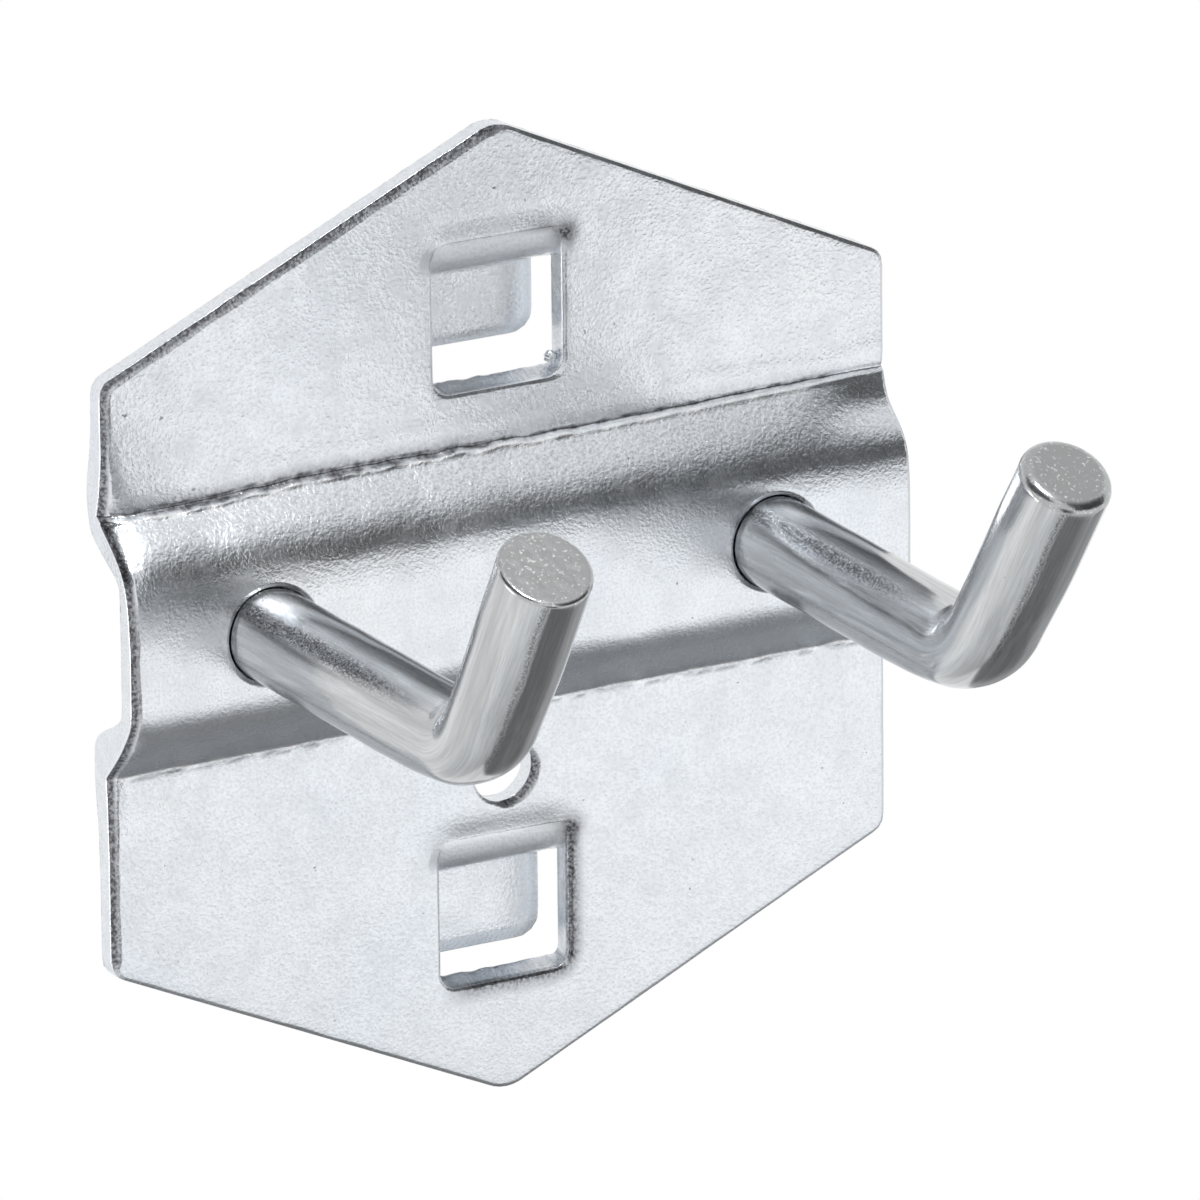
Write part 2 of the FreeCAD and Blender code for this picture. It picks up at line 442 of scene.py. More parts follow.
def rolled_rings(x, z, nx, nz, margin, front_y, width, depth, shade):
    """Rings outward over the drawn-in width, as deep as share to the 1.5, then round a small corner."""
    rings = []
    for share, turn in rim_profile:
        out = margin - width + (width - cut_corner) * share + cut_corner * math.sin(turn)
        ring_x, ring_z = x + nx * out, z + nz * out
        y = front_y(ring_x, ring_z) + depth * share ** 1.5 + cut_corner * (1 - math.cos(turn))
        # ring_shade is painted shade over the rounded rim, fading in with the share and out round the
        # corner
        ring_shade = shade * smooth((share - 0.05) / 0.6) * math.cos(turn) ** 2
        rings.append((ring_x, y, ring_z, np.full(len(x), share), ring_shade))
    return rings


def wall_rings(x, z, nx, nz, front_edge, rear_y, flare):
    """Rings down the cut edge, ragged in its torn part and flared towards the back, and two behind."""
    plain = np.zeros(len(x))
    rear_edge = rear_y(x, z)
    around = x * 1.7 + z * 2.3
    rings = []
    for share in (0.12, 0.35, 0.6, 0.8, 0.95):
        torn = 0.015 * (1 + waves(around, share * 9 + 0 * around, 1.2, 31)) * smooth((share - 0.3) / 0.3)
        inset = torn - flare * smooth(share)
        y = front_edge + (rear_edge - front_edge) * share
        rings.append((x - nx * inset, y, z - nz * inset, plain + edge_on_wall, plain))
    for corner in (0.03, 0.12):
        ring_x, ring_z = x - nx * (corner - flare), z - nz * (corner - flare)
        rings.append((ring_x, rear_y(ring_x, ring_z), ring_z, plain, plain))
    return rings


print("rings over the rim:", len(rim_profile))

# %% The whole sheet
def pressed_sheet(grid, distance, margin, faces, roll_of):
    """Closed sheet over the part of a grid inside an outline, less a margin that the rings fill.

    Returns its points (x, depth, z), its quads, and the edge mark and shade of each point."""
    front_y, rear_y = faces
    x, z, cells = cells_inside(*grid, distance, margin)
    rim, rim_edges = open_edges(cells, len(x))
    for _ in range(4):
        nx, nz = outward(distance, x[rim], z[rim])
        gap = distance(x[rim], z[rim]) + margin
        x[rim] -= nx * gap
        z[rim] -= nz * gap
    nx, nz = outward(distance, x[rim], z[rim])
    edge_x, edge_z = x[rim] + nx * margin, z[rim] + nz * margin
    width, depth, shade, flare = roll_of(edge_x, edge_z, nx, nz)
    rings = rolled_rings(x[rim], z[rim], nx, nz, margin, front_y, width, depth, shade)
    rings += wall_rings(edge_x, edge_z, nx, nz, rings[-1][1], rear_y, flare)
    plain = np.zeros(len(x))
    layers = [(x, front_y(x, z), z, plain, plain)] + rings + [(x, rear_y(x, z), z, plain, plain)]
    table = np.concatenate([np.stack(layer, 1) for layer in layers])
    rear_start = len(x) + len(rings) * len(rim)
    loops = [len(x) + k * len(rim) + np.arange(len(rim)) for k in range(len(rings))]
    loops = [rim] + loops + [rear_start + rim]
    start, end = rim_edges.T
    bands = [np.stack([near[end], near[start], far[start], far[end]], 1)
             for near, far in zip(loops[:-1], loops[1:])]
    quads = np.concatenate([cells] + bands + [cells[:, ::-1] + rear_start])
    return table[:, :3], quads, table[:, 3:]


print("edge marks run from 0 on a face to 1 at its edge, and are", edge_on_wall, "on the cut")

# %% [markdown]
# ## The plate
# The plate's face shows every bend, so its grid is close along both creases and wide elsewhere, and
# its rows follow the upper crease where that runs askew. A grid that is fine everywhere would pass
# the limit of triangles long before the crease looked sharp.

# %% How far the punch drew the edges in
plate_margin = 0.65


def plate_roll(x, z, nx, nz):
    """Width, depth and shade of the rounding along the plate's edges, and the flare of a window's foot.

    The outline is drawn in most on its left and upper edges, a window at its right edge, and not at
    its root, where the tab leaves it."""
    strong = smooth((0.35 - nx) / 0.5) * smooth((nz + 0.55) / 0.5)
    at_right, at_left = smooth((-nx - 0.2) / 0.5), smooth((nx - 0.6) / 0.3)
    in_window = np.zeros(x.shape, bool)
    for centre in window_centres:
        in_window |= beside_window(x, z, centre, 1.0) < 0.4
    free = 1 - smooth((-nz - 0.1) / 0.35)
    # shade is painted shade along the rounded rims: strong on the outline's left and upper edges, weaker in
    # the windows and round the peg holes
    window_shade = np.where(z > 0, 0.15, 0.45) * at_right * free + 0.45 * at_left
    width = np.where(in_window, 0.25 + 0.10 * at_right, 0.28 + 0.34 * strong)
    depth = np.where(in_window, (0.06 + 0.05 * at_right) * free, 0.07 + 0.16 * strong)
    shade = np.where(in_window, window_shade, 0.22 + 0.65 * strong)
    around_peg = (np.abs(z - rib_centre) < 4) & (np.abs(np.abs(x) - peg_x) < 4)
    width = np.where(around_peg, 0.3, width)
    depth = np.where(around_peg, 0.12, depth)
    shade = np.where(around_peg, 0.2, shade)
    uneven = 1 + 0.07 * waves(x, z, 3.5, 41)
    flare = 0.42 * in_window * smooth((nz - 0.5) / 0.5) * (1 + 0.05 * wander(x, 1.4, 42))
    return np.minimum(width * uneven, plate_margin - 0.01), depth * uneven, shade, flare


# %% Grid and sheet of the plate
columns = np.linspace(-plate_width / 2, plate_width / 2, 165)
rows = graded(-plate_height / 2, plate_height / 2, 0.36,
              [(crease_top, 0.55, 0.19), (crease_bottom, 0.35, 0.28), (7.4, 1.2, 0.6), (-2.6, 0.8, 0.6)])
x, z = np.meshgrid(columns, rows)
follow_crease = z + crease_askew(x) * bump((z - crease_top) / askew_reach)
sheets = [pressed_sheet((x, follow_crease), plate_distance, plate_margin,
                        (front_relief, back_relief), plate_roll)]
print("plate grid", len(columns), "by", len(rows), "lines,", len(sheets[0][0]), "points")

# %% [markdown]
# ## The tabs
# Each tab is a tongue cut out of its window, bent back through it and down behind the panel. It
# could be swept along its bent section, but then its rounded corners would have to be cut across
# the bend. As in the press, it is cut flat first and bent after: a flat blank with its own outline
# is made like the plate, and each of its points is carried round two quarter turns.

# %% Flat blank of a tab
tab_start = 1.0
tab_margin = 0.92
skin = 0.004


def tab_blank(length):
    """Distance outside a blank that starts inside the sheet, v above the window's top, and hangs down.

    It is wider at its root, where the cut ends and the tab still joins the sheet."""
    middle = (tab_start - length) / 2

    def distance(x, v):
        spread = 0.45 * smooth((v + 1.6) / 1.2)
        upper = np.maximum(np.abs(x) - window_width / 2 - spread, v - tab_start)
        lower = rounded_box(x, v - middle, window_width / 2, (tab_start + length) / 2, 1.5)
        return np.where(v > middle, upper, lower)
    return distance


def tab_roll(x, v, nx, nv):
    """Rounding of a tab's front rim, none where it leaves the plate."""
    free = smooth((-v - 2.0) / 2.0) * (nv < 0.5)
    # the third value is painted shade along the tab's free rim
    return 0.9 + 0 * x, 0.13 * free, 0.1 * free, 0 * x


def tab_front(seed):
    """Depth of a blank's front: the plate's dip, worn sides, lifted corners at the root, faint waves."""
    def face(x, v):
        across = np.abs(x)
        sunk = 0.05 * smooth(v / 0.3) + window_dip(x, v)
        worn = 0.25 * smooth((across - 4.25) / 0.7) * smooth((-v - 2.2) / 0.6)
        lifted = np.where(x > 0, 0.15, 0.10) * smooth((across - 3.7) / 0.7) * bump((v + 1.1) / 0.75)
        return front + skin + sunk + worn - lifted + 0.008 * waves(x, v, 3.0, seed) * smooth((-v - 1) / 2)
    return face


def tab_rear(x, v):
    """Depth of a blank's back, just under the sheet's."""
    return -skin + 0 * x


print("tabs leave the sheet", tab_start, "mm above their windows")

# %% Two bends
tab_radius, panel_gap = 0.8, 2.15
neutral_radius = tab_radius + sheet / 2
quarter = neutral_radius * math.pi / 2
between_bends = panel_gap - 2 * tab_radius


def bend_tab(points, window_top):
    """Turns a flat blank back through the window and down behind the panel.

    With t the depth in the sheet, the first quarter turn has the radius (inside radius - t) and the
    second (inside radius + sheet + t). Lengths are kept in the middle of the sheet."""
    x, t, v = points.T
    turn = np.clip(-v / quarter, 0, 1) * math.pi / 2
    y = tab_radius - (tab_radius - t) * np.cos(turn)
    z = window_top - (tab_radius - t) * np.sin(turn) + np.maximum(v, 0)
    past = -v - quarter
    y += np.clip(past, 0, between_bends)
    past = past - between_bends
    turn = np.clip(past / quarter, 0, 1) * math.pi / 2
    radius = tab_radius + sheet + t
    y += radius * np.sin(turn)
    z -= radius * (1 - np.cos(turn)) + np.maximum(past - quarter, 0)
    return np.stack([x, y, z], 1)


for centre, end_gap in zip(window_centres, (1.9, 1.0)):
    leg = window_height - end_gap - 2 * neutral_radius
    length = 2 * quarter + between_bends + leg
    grid = np.meshgrid(np.linspace(-5.0, 5.0, 38), graded(-length, tab_start, 0.26, []))
    faces = (tab_front(int(50 + centre)), tab_rear)
    points, quads, edge_marks = pressed_sheet(grid, tab_blank(length), tab_margin, faces, tab_roll)
    sheets.append((bend_tab(points, centre + window_height / 2), quads, edge_marks))
    print(f"tab of the window at {centre}: {length:.2f} mm long in the flat")

# %% [markdown]
# ## Marks of the press, painted shade and painted highlights
# Plating shows where the steel was worked: cut edges are dull. On top of that, painted shade darkens
# the upper crease and the sheet above it, a line under the lower crease, the rounded rims and the
# sheet round the windows, and painted highlights brighten the lips along both creases. Painting that
# into a picture would tie it to one size and one view. It is kept on the points instead, as numbers
# from 0 to 1 worked out from where each point lies, and the finish reads them.

# %% One sheet of three
first_points = np.cumsum([0] + [len(part[0]) for part in sheets])
points = np.concatenate([part[0] for part in sheets])
quads = np.concatenate([part[1] + first for part, first in zip(sheets, first_points)])
# shade_mark is the painted shade of the rounded rims
edge_mark, shade_mark = np.concatenate([part[2] for part in sheets]).T
points = np.clip(points, [plate_low[0], rib_front, plate_low[2]], plate_high)
print("plate box", points.min(0).round(3), points.max(0).round(3))

# %% Marks along the creases
def crease_shade(x, z):
    """Painted shade on the upper crease: a dark core as thick as the drag, in a wider and weaker
    shade above it.
    """
    over = over_crease(x, z)
    thick = 0.15 + 0.22 * smooth((3 - x) / 10) * smooth((x + 26) / 4)
    core = 0.92 * smooth(1.0 - ((over - 0.10) / thick) ** 2 + 0.28 * waves(x, 1.5 * z, 1.3, 61))
    wider = 0.55 * bump((over - 0.2) / 0.6) * (over > -0.1) * (0.45 + 0.55 * smooth((6 - x) / 12))
    return np.maximum(core, wider) * smooth((24.5 - x) / 2)


def lip_highlight(x, z):
    """Painted highlight: a bright broken line on the lip under the upper crease."""
    line = bump((over_crease(x, z) + 0.28 + 0.05 * wander(x, 1.3, 62)) / 0.13)
    return line * smooth(0.7 + wander(x, 2.2, 63)) * smooth((24.0 - x) / 2)


def foot_lines(x, z):
    """Painted highlight in a broken line on the lower crease, and painted shade in a line under it."""
    over = z - crease_bottom - foot_ragged(x)
    bright = bump((over + 0.04) / 0.11) * smooth(0.6 + wander(x, 1.7, 64))
    return bright, 0.6 * bump((over + 0.30) / 0.09) * smooth(0.3 + wander(x, 2.0, 65))


print("dark on the crease at x = -10:", crease_shade(np.array([-10.0]), crease_top).round(2))

# %% Marks round the windows
def corner_shade_spots(x, z):
    """Painted shade: a dark spot on each upper corner of a window, strong on the right."""
    spots = 0
    for centre in window_centres:
        top = centre + window_height / 2
        spots = spots + bump(np.hypot(np.abs(x) - 4.75, z - top + 0.4) / 0.75)
    return spots * np.where(x > 0, 0.95, 0.2)


def window_shade_halo(x, z):
    """Painted shade beside the windows: over both tops on the right, and down and under the lower one."""
    upper, lower = (beside_window(x, z, centre, window_corner) for centre in window_centres)
    over_upper, over_lower = (z > centre + 4.4 for centre in window_centres)
    rightward = smooth((x - 0.5) / 4)
    halo = 0.7 * bump(upper / 0.45) * rightward * over_upper
    halo += 0.5 * bump(lower / 0.40) * rightward * over_lower
    right_side = 0.82 * smooth((x - 4.1) / 0.5)
    foot = 0.70 * smooth((window_centres[1] - 4.3 - z) / 0.4) * smooth((x + 5) / 3)
    return halo + bump((lower - 0.18) / 0.58) * np.maximum(right_side, foot)


def torn_walls(x, z):
    """How torn a cut edge is: little on the outline, more on the windows' sides and feet."""
    at_foot = sum(np.abs(z - centre + window_height / 2) < 0.35 for centre in window_centres) > 0
    beside = sum(np.abs(z - centre) < window_height / 2 for centre in window_centres) > 0
    in_sides = np.where(beside & (np.abs(x) < 4.6), 0.25, 0.1)
    return np.where(at_foot & (np.abs(x) < 4.4), 0.22, in_sides)


def tab_matt(x, z):
    """Where the bend of a tab has dulled the plating."""
    bends = sum(bump((z - centre - window_height / 2 + 0.9) / 1.1) for centre in window_centres)
    return bends * (np.abs(x) < 5.2)


print("halo at the lower window's right side:", window_shade_halo(np.array([4.7]), -19.0).round(2))

# %% Plate with its marks
x, y, z = points.T
near_front = y < front + 0.4
foot_highlight, foot_shade = foot_lines(x, z)
# painted shade on the windows' upper corners and round the windows, on the front only
painted_window_shade = np.minimum(np.maximum(corner_shade_spots(x, z), window_shade_halo(x, z)), 0.9) * near_front
plate_marks = {
    # lip: painted highlights on the lips of both creases
    "lip": near_front * np.maximum(lip_highlight(x, z), foot_highlight),
    # crease: painted shade on and above the upper crease and under the lower one
    "crease": near_front * np.maximum(crease_shade(x, z), foot_shade),
    "flank": smooth((crease_top + 0.2 - z) / 0.6) * smooth((z - 5.5) / 2.0) * (y < front),
    "torn": (edge_mark == edge_on_wall) * torn_walls(x, z),
    # shade: painted shade along the rounded rims and round the windows
    "shade": np.maximum(shade_mark, painted_window_shade),
    "matt": tab_matt(x, z),
}
plate = add_mesh("plate", points, quads, no_triangles, plate_marks)

# %% [markdown]
# ## The bars
# Each peg is a length of drawn bar, bent cold to 60 degrees. The outside of the bend stretched thin,
# the inside folded, and the former left dents and bright streaks. A bevelled curve would stay
# perfectly round, so the bar is a grid of rings instead: s runs along its middle line and t round
# it, and the radius is a function of both.

# %% Middle line of a bar
peg_reach, upturn_length, bend_radius = 25.8, 15.9, 5.0
upturn_angle = math.radians(60.0)
tail_y, tail_chamfer = -1.0, 0.3
setback = bend_radius * math.tan(upturn_angle / 2)
straight_length = tail_y - rib_front + peg_reach - setback
arc_length = bend_radius * upturn_angle
bend_end = straight_length + arc_length
bar_length = bend_end + upturn_length - setback
elbow = straight_length + arc_length / 2


def middle_line(along):
    """Angle turned and place (y, z) at a distance along the bar: a straight, an arc and a straight."""
    turned = np.clip(along - straight_length, 0, arc_length) / bend_radius
    rest = np.maximum(along - bend_end, 0)
    y = tail_y - np.minimum(along, straight_length) - bend_radius * np.sin(turned)
    z = rib_centre + bend_radius * (1 - np.cos(turned)) + rest * math.sin(upturn_angle)
    return turned, y - rest * math.cos(upturn_angle), z


print("bar", round(bar_length, 2), "mm long, with its bend from", round(straight_length, 2), "mm")

# %% Rings of a bar, and what bending did to them
bar_seed = 5
ring_points = 96
touch = 1e-6


def bar_rings(tip_round):
    """Distance and radius of each ring: the flat tail, the body, the rounded tip and its flat end."""
    body = graded(tail_chamfer, bar_length - tip_round, 0.3, [(elbow, 4.0, 0.55)])
    turns = np.linspace(0, math.pi / 2, 9)[1:]
    cap = np.linspace(1, 0, 15)[1:-1]
    tail = np.linspace(0.05, 1, 8)
    distances = [0 * tail, body, bar_length - tip_round * (1 - np.sin(turns)), 0 * cap + bar_length]
    radii = [tail * (rod_radius - tail_chamfer), 0 * body + rod_radius,
             rod_radius - tip_round * (1 - np.cos(turns)), cap * (rod_radius - tip_round)]
    return np.concatenate(distances), np.concatenate(radii)


def bent_radius(s, t, notch_depth, notch_width):
    """Change of radius: dents, thinned outside the bend, notched and folded inside, swollen beside it.

    t is 0 on the outside of the bend, so the cosine of t parts its outside from its inside."""
    outside, inside = np.maximum(np.cos(t), 0), np.maximum(-np.cos(t), 0)
    thinned = 0.70 * bump((s - elbow - 0.8) / 4.6) * outside ** 1.3
    from_fold = s - (elbow + 0.3 * np.sin(2.0 * t + bar_seed) + 0.1 * np.sin(7 * t))
    notch = notch_depth * bump(from_fold / notch_width) * inside ** 1.5
    fold = 0.05 * np.cos(from_fold / 0.27) * bump(from_fold / 1.2) * inside ** 2
    swell = 0.10 * bump((s - elbow) / 3.5) * np.sin(t) ** 2
    across, up = rod_radius * np.sin(t), rod_radius * np.cos(t)
    dents = 0.010 * waves(s, across + up, 6.0, bar_seed)
    dents += 0.0025 * waves(across, up + 0.03 * s, 1.3, bar_seed + 1)
    return dents * smooth(s / 3) - thinned - notch + fold + swell


print("rings on a bar:", len(bar_rings(0.3)[0]), "of", ring_points, "points")

# %% Streaks along a bar
def bar_streaks(s, t):
    """Lines along the bar round it: dark and speckled above 0, and below 0 a painted highlight near the
    plate.
    """
    def line(place, width, stray=0.0):
        return bump((t - place * math.pi - stray) / width)

    streak = 1.5 * line(1.235, 0.19) * smooth((s - 2.5) / 2) * smooth((straight_length + 1 - s) / 12)
    # painted highlight on the top of the bar near the plate
    streak -= line(1.06, 0.27) * bump((s - 6.4) / 2.0)
    streak += 0.7 * line(1.61, 0.05) * smooth((straight_length + 2 - s) / 3)
    on_upturn = smooth((s - straight_length - 0.6 * arc_length) / 4)
    return streak + 0.8 * line(1.86, 0.06, 0.02 * np.sin(s)) * on_upturn


print("streak half way along the straight:", bar_streaks(np.array([12.0]), 1.235 * math.pi).round(2))

# %% Surface of a bar
def bar_surface(tip_round, notch_depth, notch_width, slant, grain_start):
    """Bent bar: point (s, t) lies its radius away from the middle line, in the plane across it.

    slant shears the cut end, and grain_start moves the pattern of the finish along the bar."""
    distances, radii = bar_rings(tip_round)
    theta = np.linspace(0, 2 * math.pi, ring_points + 1)[:-1]
    s, t = np.meshgrid(distances, theta, indexing="ij")
    before_tip = s < bar_length - tip_round + touch
    on_body = (s > tail_chamfer - touch) & before_tip
    on_end = s >= bar_length - touch
    radius = radii[:, None] + on_body * bent_radius(s, t, notch_depth, notch_width)
    across, up = radius * np.sin(t), radius * np.cos(t)
    shear = -slant * smooth((s - bend_end) / (bar_length - bend_end)) * up / rod_radius
    pits = 0.007 * waves(across, up, 1.1, bar_seed + 2) * on_end
    along = s + shear + pits * smooth((rod_radius - tip_round - radius) / 0.4)
    turned, middle_y, middle_z = middle_line(along)
    points = np.stack([across, middle_y - up * np.sin(turned), middle_z - up * np.cos(turned)], -1)
    poles = [[0, tail_y, rib_centre], [0, middle_y[-1].mean(), middle_z[-1].mean()]]
    straight = np.stack([across, along + grain_start, up], -1)
    straight_poles = [[0, grain_start, 0], [0, bar_length + grain_start, 0]]
    end = np.where(on_end, 1.0, 0.6 * (s > bar_length - tip_round + touch))
    # streak: dark speckled lines, and below 0 a painted highlight
    streak = bar_streaks(s, t) * before_tip
    marks = {
        "straight": np.concatenate([straight.reshape(-1, 3), straight_poles]),
        "end": np.append(end.ravel(), [0, 1]),
        "streak": np.append(streak.ravel(), [0, 0]),
    }
    return np.concatenate([points.reshape(-1, 3), poles]), *closed_grid(s.shape), marks


def lean(points, yaw, roll):
    """Turns a peg a little about its place in the plate: yaw about Z, roll about the bar."""
    pivot = np.array([0, rib_front, rib_centre])
    yaw, roll = math.radians(yaw), math.radians(roll)
    about_bar = np.array([[math.cos(roll), 0, math.sin(roll)], [0, 1, 0],
                          [-math.sin(roll), 0, math.cos(roll)]])
    about_z = np.array([[math.cos(yaw), -math.sin(yaw), 0], [math.sin(yaw), math.cos(yaw), 0], [0, 0, 1]])
    return (points - pivot) @ (about_z @ about_bar).T + pivot


# %% Both bars
bars = []
for name, place, tip_round, notch_depth, notch_width, slant, grain_start, yaw, roll in (
        ("left_bar", -peg_x, 0.3, 0.34, 1.1, 0.12, 80, -0.1, -0.6),
        ("right_bar", peg_x, 0.75, 0.12, 2.6, 0.10, 140, -1.9, 5.4)):
    points, quads, triangles, marks = bar_surface(tip_round, notch_depth, notch_width, slant, grain_start)
    points = lean(points, yaw, roll) + np.array([place, 0, 0])
    bars.append(add_mesh(name, points, quads, triangles, marks))
    print(name, "box", points.min(0).round(3), points.max(0).round(3))

# %% [markdown]
# ## The welds
# Behind the rib a bead of weld holds each peg, out of sight from the front. A bevelled torus would
# do, but a bead has a straight foot on each of the two parts that it joins. Its section is a quarter
# round with a corner between them, carried round the peg, with the ripples that the welder left.

# %% Weld beads
def weld_bead(name, place):
    """Ring round a peg at x = place: radius and depth grow from the corner by leg times cos, sin of u."""
    sink_in_bar, sink_in_rib, ripples = 0.05, 0.02, 17
    theta = np.linspace(0, 2 * math.pi, 145)[:-1]
    t, u = np.meshgrid(theta, np.linspace(0, math.pi / 2, 9), indexing="ij")
    leg = 0.68 + 0.03 * np.sin(ripples * t)
    corner = np.zeros((len(theta), 1))
    radius = rod_radius - sink_in_bar + np.hstack([leg * np.cos(u) ** 1.3, corner])
    depth = -rib_depth - sink_in_rib + np.hstack([leg * np.sin(u) ** 1.3, corner])
    t = theta[:, None]
    points = np.stack([radius * np.cos(t) + place, depth, radius * np.sin(t) + rib_centre], -1)
    index = np.arange(depth.size).reshape(depth.shape)
    after = np.roll(index, -1, 0)
    quads = np.stack([index, np.roll(index, -1, 1), np.roll(after, -1, 1), after], -1).reshape(-1, 4)
    return add_mesh(name, points.reshape(-1, 3), quads, no_triangles, {})


beads = [weld_bead("left_weld", -peg_x), weld_bead("right_weld", peg_x)]

# %% [markdown]
# ## A drop of zinc
# The plating bath left one small frozen drop in the lower right corner of the upper window. A plain
# ball would look like a bead of glass, so its radius is uneven.

# %% Zinc drop
def zinc_drop(name, centre, radius):
    """Lumpy ball, radius (1 + 0.16 waves), on a grid of latitude u and longitude v, closed at two poles."""
    latitude = np.linspace(-math.pi / 2, math.pi / 2, 25)[1:-1]
    longitude = np.linspace(0, 2 * math.pi, 49)[:-1]
    u, v = np.meshgrid(latitude, longitude, indexing="ij")
    out = np.stack([np.cos(u) * np.cos(v), np.cos(u) * np.sin(v), np.sin(u)], -1)
    lumpy = radius * (1 + 0.16 * waves(out[..., 0] + 2 * out[..., 1], out[..., 2], 1.1, 71))
    points = np.concatenate([(out * lumpy[..., None]).reshape(-1, 3), [[0, 0, -radius], [0, 0, radius]]])
    return add_mesh(name, points + np.array(centre), *closed_grid(u.shape), {}, 60)


drop = zinc_drop("zinc_drop", (4.15, -0.40, 15.3), 0.34)

# %% [markdown]
# ## The finishes
# All the steel is plated with bright zinc, and it looks different on each part: satin with a fine
# grain on the sheet, mirror-like with streaks on the drawn bar, dull on the welds. One metal for all
# would lose that. Each finish is one metallic shader, whose colour and roughness change with noise
# on Object coordinates and with the marks kept on the points. The bars read a straightened copy of
# their own coordinates, so that their streaks follow the bend.

# %% A short way to build a finish
class Paint:
    """Short ways to add shader nodes to one metallic material."""

    def __init__(self, name):
        self.material = bpy.data.materials.new(name)
        self.material.use_nodes = True
        self.tree = self.material.node_tree
        self.shader = self.tree.nodes["Principled BSDF"]
        self.shader.inputs["Metallic"].default_value = 1.0

    def feed(self, socket, value):
        """Links a socket to another one, or gives it a plain value."""
        if isinstance(value, bpy.types.NodeSocket):
            self.tree.links.new(value, socket)
        else:
            socket.default_value = value

    def node(self, kind, **inputs):
        made = self.tree.nodes.new(kind)
        for key, value in inputs.items():
            self.feed(made.inputs[key.replace("_", " ")], value)
        return made

    def place(self):
        return self.node("ShaderNodeTexCoord").outputs["Object"]

    def mark(self, name, output="Fac"):
        made = self.node("ShaderNodeAttribute")
        made.attribute_name = name
        return made.outputs[output]

    def stretched(self, where, scale):
        return self.node("ShaderNodeMapping", Vector=where, Scale=scale).outputs["Vector"]

    def noise(self, where, scale, detail=2.0, rough=0.5):
        made = self.node("ShaderNodeTexNoise", Vector=where, Scale=scale, Detail=detail, Roughness=rough)
        return made.outputs["Fac"]

    def fit(self, value, low, high, to_low, to_high):
        made = self.node("ShaderNodeMapRange", Value=value, From_Min=low, From_Max=high,
                         To_Min=to_low, To_Max=to_high)
        return made.outputs["Result"]

    def maths(self, kind, first, second):
        made = self.node("ShaderNodeMath")
        made.operation = kind
        self.feed(made.inputs[0], first)
        self.feed(made.inputs[1], second)
        return made.outputs[0]

    def times(self, first, second):
        return self.maths("MULTIPLY", first, second)

    def larger(self, first, second):
        return self.maths("MAXIMUM", first, second)

    def mix(self, share, first, second):
        made = self.node("ShaderNodeMix")
        made.data_type = "RGBA"
        for number, value in ((0, share), (6, first), (7, second)):
            self.feed(made.inputs[number], value)
        return made.outputs[2]

    def bump(self, height, depth, strength=1.0, before=None):
        made = self.node("ShaderNodeBump", Height=height, Distance=depth * mm, Strength=strength)
        if before is not None:
            self.tree.links.new(before, made.inputs["Normal"])
        return made.outputs["Normal"]

    def finish(self, colour, roughness, normal):
        for name, value in (("Base Color", colour), ("Roughness", roughness), ("Normal", normal)):
            self.tree.links.new(value, self.shader.inputs[name])
        print("finish", self.material.name, "has", len(self.tree.nodes), "nodes")
        return self.material


# %% Satin zinc on pressed sheet
def plate_finish():
    """Fine grain, coarser where the rib was drawn, small pits, blue clouds, dark torn edges, and painted
    shade and painted highlights along the creases, rims and windows.
    """
    paint = Paint("plate_zinc")
    place = paint.place()
    grain = paint.noise(place, 5000.0, 2.0, 0.55)
    coarse = paint.noise(place, 2800.0, 2.0, 0.5)
    pits = paint.fit(paint.noise(place, 1700.0, 3.0, 0.6), 0.735, 0.77, 0.0, 0.7)
    clouds = paint.fit(paint.noise(place, 70.0, 2.0), 0.35, 0.65, 0.0, 1.0)
    drawn = paint.mark("flank")
    tone = paint.mix(clouds, (0.87, 0.892, 0.92, 1), (0.835, 0.877, 0.925, 1))
    grains = paint.times(paint.fit(grain, 0.30, 0.60, 0.25, 0.0), paint.fit(drawn, 0.0, 1.0, 1.0, 2.2))
    tone = paint.mix(grains, tone, (0.45, 0.46, 0.48, 1))
    # painted highlight: the lips turn nearly white
    tone = paint.mix(paint.mark("lip"), tone, (0.99, 0.99, 1.0, 1))
    tears = paint.noise(paint.stretched(place, (1.0, 0.15, 0.15)), 6000.0)
    torn = paint.times(paint.mark("torn"), paint.fit(tears, 0.35, 0.65, 0.5, 1.2))
    # painted shade along the rims and round the windows, made uneven by the grain
    shade = paint.times(paint.mark("shade"), paint.fit(grain, 0.35, 0.65, 0.7, 1.3))
    # painted shade along the creases, made uneven by the coarse grain
    ragged = paint.times(paint.mark("crease"), paint.fit(coarse, 0.35, 0.6, 0.7, 1.05))
    # dark mixes the pits and torn edges of the zinc with the painted shade of the rims, windows and creases
    dark = paint.larger(paint.larger(pits, torn), paint.larger(shade, ragged))
    colour = paint.mix(dark, tone, (0.10, 0.10, 0.11, 1))
    roughness = paint.fit(paint.noise(place, 500.0, 2.0), 0.3, 0.7, 0.22, 0.30)
    roughness = paint.larger(roughness, paint.times(paint.mark("matt"), 0.55))
    normal = paint.bump(grain, 0.028)
    normal = paint.bump(coarse, 0.03, paint.fit(drawn, 0.0, 1.0, 0.12, 1.0), normal)
    normal = paint.bump(pits, -0.02, 1.0, normal)
    return paint.finish(colour, roughness, normal)


plate_zinc = plate_finish()

